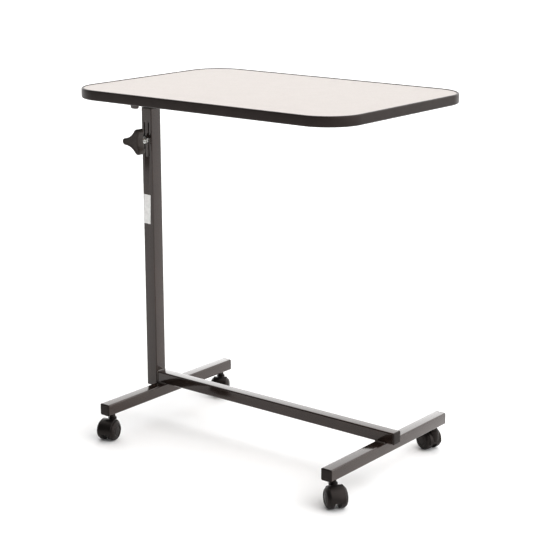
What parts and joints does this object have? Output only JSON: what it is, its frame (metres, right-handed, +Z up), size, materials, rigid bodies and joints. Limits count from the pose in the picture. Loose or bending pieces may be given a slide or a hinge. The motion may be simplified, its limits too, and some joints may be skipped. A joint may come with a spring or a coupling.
{
  "type": "overbed table",
  "caption": "Overbed table: laminated top on a telescopic square mast at one end, clamped by a lobed knob, over a welded tube base on twin-wheel swivel castors.",
  "frame": {"origin": "on the floor under the middle of the whole object's bounding box", "axes": "+Z up; +X along the top's long side, from the mast end to the free end; +Y away from the side with the clamp knob"},
  "size_m": [0.611, 0.41, 0.67],
  "materials": {
    "painted_steel": "glossy dark bronze-brown powder coat",
    "inner_tube_steel": "satin dark bronze paint, rubbed by the guides",
    "zinc_steel": "bright zinc plate",
    "axle_steel": "ground steel pin",
    "insert_brass": "turned brass, knurled",
    "black_plastic": "moulded black-brown plastic, fine texture",
    "guide_plastic": "self-lubricating nylon, smooth matt",
    "knob_plastic": "moulded dark brown plastic, satin",
    "castor_plastic": "moulded black nylon, satin",
    "wheel_plastic": "moulded black nylon, satin tread",
    "label_film": "blank pale grey adhesive film",
    "particle_board": "particle board",
    "cream_laminate": "cream high-pressure laminate, fine satin texture",
    "backing_sheet": "brown phenolic balancing sheet",
    "dark_moulding": "dark brown vinyl T-moulding, satin gloss"
  },
  "bodies": {
    "base": {"outer_mast_tube": "painted_steel", "mast_foot_plug": "black_plastic", "mast_guide_collar": "guide_plastic", "mast_side_foot_tube": "painted_steel", "far_foot_tube": "painted_steel", "base_beam_tube": "painted_steel", "foot_end_caps": "black_plastic", "beam_end_cap": "black_plastic", "weld_beads": "painted_steel", "castor_inserts": "zinc_steel", "castor_stems": "zinc_steel", "clamp_weld_nut": "zinc_steel", "blank_label": "label_film"},
    "carriage": {"inner_mast_tube": "inner_tube_steel", "inner_tube_slide_shoe": "guide_plastic", "saddle_bracket": "painted_steel", "saddle_bolt": "zinc_steel", "saddle_nut": "zinc_steel", "bolt_spacers": "zinc_steel", "carrier_arm": "painted_steel", "carrier_arm_cap": "black_plastic", "head_plate": "painted_steel", "cross_rail": "painted_steel", "wood_screws": "zinc_steel", "table_core": "particle_board", "backing_laminate": "backing_sheet", "top_laminate": "cream_laminate", "edge_moulding": "dark_moulding"},
    "clamp_pad": {"pressure_pad": "guide_plastic"},
    "knob": {"clamp_knob": "knob_plastic", "knob_insert": "insert_brass", "clamp_stud": "zinc_steel"},
    "mast_front_castor": {"mast_front_castor_hood": "castor_plastic", "mast_front_castor_axle": "axle_steel"},
    "mast_front_left_wheel": {"mast_front_wheel_left": "wheel_plastic"},
    "mast_front_right_wheel": {"mast_front_wheel_right": "wheel_plastic"},
    "mast_rear_castor": {"mast_rear_castor_hood": "castor_plastic", "mast_rear_castor_axle": "axle_steel"},
    "mast_rear_left_wheel": {"mast_rear_wheel_left": "wheel_plastic"},
    "mast_rear_right_wheel": {"mast_rear_wheel_right": "wheel_plastic"},
    "far_front_castor": {"far_front_castor_hood": "castor_plastic", "far_front_castor_axle": "axle_steel"},
    "far_front_left_wheel": {"far_front_wheel_left": "wheel_plastic"},
    "far_front_right_wheel": {"far_front_wheel_right": "wheel_plastic"},
    "far_rear_castor": {"far_rear_castor_hood": "castor_plastic", "far_rear_castor_axle": "axle_steel"},
    "far_rear_left_wheel": {"far_rear_wheel_left": "wheel_plastic"},
    "far_rear_right_wheel": {"far_rear_wheel_right": "wheel_plastic"}
  },
  "joints": [
    {"name": "height_slide", "type": "slide", "parent": "base", "child": "carriage", "axis": [0, 0, 1], "range_m": [-0.01, 0.28]},
    {"name": "knob_travel", "type": "slide", "parent": "base", "child": "clamp_pad", "axis": [0, -1, 0], "range_m": [0, 0.0025]},
    {"name": "knob_turn", "type": "hinge", "parent": "clamp_pad", "child": "knob", "pos_m": [-0.27852, -0.045, 0.5535], "axis": [0, -1, 0], "range_deg": [0, 723]},
    {"name": "mast_front_swivel", "type": "hinge", "parent": "base", "child": "mast_front_castor", "pos_m": [-0.25452, -0.151, 0.04], "axis": [0, 0, 1], "continuous": true},
    {"name": "mast_front_left_spin", "type": "hinge", "parent": "mast_front_castor", "child": "mast_front_left_wheel", "pos_m": [-0.25038, -0.16542, 0.019], "axis": [0.9613, 0.2756, 0], "continuous": true},
    {"name": "mast_front_right_spin", "type": "hinge", "parent": "mast_front_castor", "child": "mast_front_right_wheel", "pos_m": [-0.25038, -0.16542, 0.019], "axis": [0.9613, 0.2756, 0], "continuous": true},
    {"name": "mast_rear_swivel", "type": "hinge", "parent": "base", "child": "mast_rear_castor", "pos_m": [-0.25452, 0.169, 0.04], "axis": [0, 0, 1], "continuous": true},
    {"name": "mast_rear_left_spin", "type": "hinge", "parent": "mast_rear_castor", "child": "mast_rear_left_wheel", "pos_m": [-0.24591, 0.15671, 0.019], "axis": [0.8192, 0.5736, 0], "continuous": true},
    {"name": "mast_rear_right_spin", "type": "hinge", "parent": "mast_rear_castor", "child": "mast_rear_right_wheel", "pos_m": [-0.24591, 0.15671, 0.019], "axis": [0.8192, 0.5736, 0], "continuous": true},
    {"name": "far_front_swivel", "type": "hinge", "parent": "base", "child": "far_front_castor", "pos_m": [0.26648, -0.151, 0.04], "axis": [0, 0, 1], "continuous": true},
    {"name": "far_front_left_spin", "type": "hinge", "parent": "far_front_castor", "child": "far_front_left_wheel", "pos_m": [0.27846, -0.16003, 0.019], "axis": [0.6018, 0.7986, 0], "continuous": true},
    {"name": "far_front_right_spin", "type": "hinge", "parent": "far_front_castor", "child": "far_front_right_wheel", "pos_m": [0.27846, -0.16003, 0.019], "axis": [0.6018, 0.7986, 0], "continuous": true},
    {"name": "far_rear_swivel", "type": "hinge", "parent": "base", "child": "far_rear_castor", "pos_m": [0.26648, 0.169, 0.04], "axis": [0, 0, 1], "continuous": true},
    {"name": "far_rear_left_spin", "type": "hinge", "parent": "far_rear_castor", "child": "far_rear_left_wheel", "pos_m": [0.25206, 0.17313, 0.019], "axis": [-0.2756, -0.9613, 0], "continuous": true},
    {"name": "far_rear_right_spin", "type": "hinge", "parent": "far_rear_castor", "child": "far_rear_right_wheel", "pos_m": [0.25206, 0.17313, 0.019], "axis": [-0.2756, -0.9613, 0], "continuous": true}
  ],
  "couplings": [
    {"joint": "knob_turn", "follows": "knob_travel", "rad_per_m": 5026.5}
  ]
}
